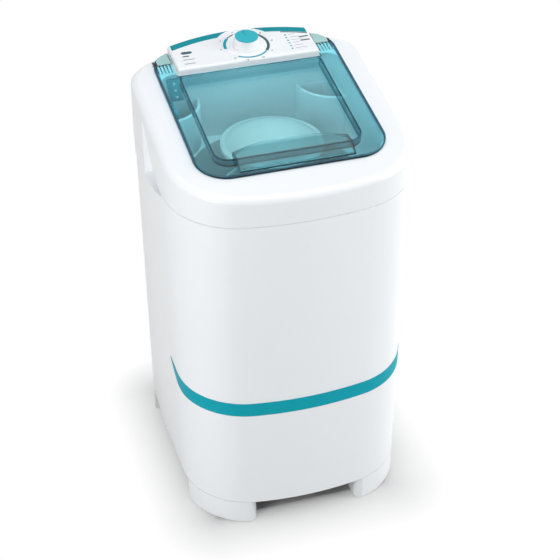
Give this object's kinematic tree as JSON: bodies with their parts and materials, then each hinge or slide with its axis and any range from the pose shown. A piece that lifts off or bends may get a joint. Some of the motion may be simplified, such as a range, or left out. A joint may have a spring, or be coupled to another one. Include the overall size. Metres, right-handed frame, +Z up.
{
  "type": "semi-automatic washing machine",
  "caption": "Top-loading semi-automatic washing machine: tapered rounded cabinet on corner feet, clear hinged lid, timer knob, tub with a tall belt-driven agitator and a lift-out lint filter.",
  "frame": {"origin": "on the floor under the middle of the machine's box", "axes": "+Z up, the front faces -Y, +X to the right seen from the front"},
  "size_m": [0.5, 0.544, 0.931],
  "materials": {
    "white_shell": "gloss white moulding",
    "clear_teal": "clear tinted, polished",
    "teal_trim": "gloss teal",
    "dial_print": "printed foil",
    "tub_white": "satin white moulding",
    "mesh": "woven mesh",
    "rubber": "matte",
    "steel": "plated",
    "zinc_steel": "zinc grey",
    "cast_aluminium": "as cast",
    "bronze": "sintered",
    "motor_paint": "dark enamel",
    "black_plastic": "matte",
    "capacitor_grey": "matte"
  },
  "bodies": {
    "machine": {"base_frame": "black_plastic", "bearing_bolts": "steel", "bearing_housing": "cast_aluminium", "cabinet": "white_shell", "capacitor": "capacitor_grey", "capacitor_strap": "zinc_steel", "console_housing": "white_shell", "cord_gland": "black_plastic", "dial_scale": "dial_print", "drain_pipe": "black_plastic", "drain_spigot": "black_plastic", "drain_strainer": "steel", "drive_belt": "rubber", "foot_front_left": "white_shell", "foot_front_right": "white_shell", "foot_pads": "rubber", "foot_rear_left": "white_shell", "foot_rear_right": "white_shell", "foot_screws": "steel", "front_stripe": "teal_trim", "hinge_pins": "steel", "left_pocket": "tub_white", "lower_bush": "bronze", "motor_body": "motor_paint", "motor_bolts": "steel", "motor_bracket": "zinc_steel", "motor_grommets": "rubber", "rear_panel": "white_shell", "rear_panel_screws": "steel", "right_pocket": "tub_white", "shaft_seal": "rubber", "timer_body": "black_plastic", "timer_bracket": "zinc_steel", "top_cover": "white_shell", "tub": "tub_white", "tub_gasket": "rubber", "upper_bush": "bronze"},
    "lid": {"lid_panel": "clear_teal", "lid_grip": "clear_teal"},
    "knob": {"knob": "white_shell", "knob_cap": "teal_trim", "timer_spindle": "steel"},
    "agitator": {"agitator": "tub_white", "agitator_cap": "tub_white", "drive_shaft": "steel", "agitator_bolt": "steel", "driven_pulley": "cast_aluminium", "pulley_nut": "steel"},
    "motor_rotor": {"motor_pulley": "cast_aluminium", "motor_rotor": "motor_paint", "motor_shaft": "steel"},
    "filter": {"lint_filter": "teal_trim", "lint_mesh": "mesh"}
  },
  "joints": [
    {"name": "lid_hinge", "type": "hinge", "parent": "machine", "child": "lid", "pos_m": [0, 0.20384, 0.88589], "axis": [-1, 0, 0], "range_deg": [0, 95]},
    {"name": "knob_turn", "type": "hinge", "parent": "machine", "child": "knob", "pos_m": [0.0085, 0.20182, 0.90486], "axis": [0, -0.1101, 0.9939], "range_deg": [-300, 0]},
    {"name": "agitator_spin", "type": "hinge", "parent": "machine", "child": "agitator", "pos_m": [0, -0.005, 0.34], "axis": [0, 0, 1], "continuous": true},
    {"name": "motor_spin", "type": "hinge", "parent": "machine", "child": "motor_rotor", "pos_m": [0, 0.145, 0.275], "axis": [0, 0, 1], "continuous": true},
    {"name": "filter_lift", "type": "slide", "parent": "machine", "child": "filter", "axis": [0, 0, 1], "range_m": [0, 0.04]}
  ],
  "couplings": [
    {"joint": "motor_spin", "follows": "agitator_spin", "ratio": 4.8384}
  ]
}
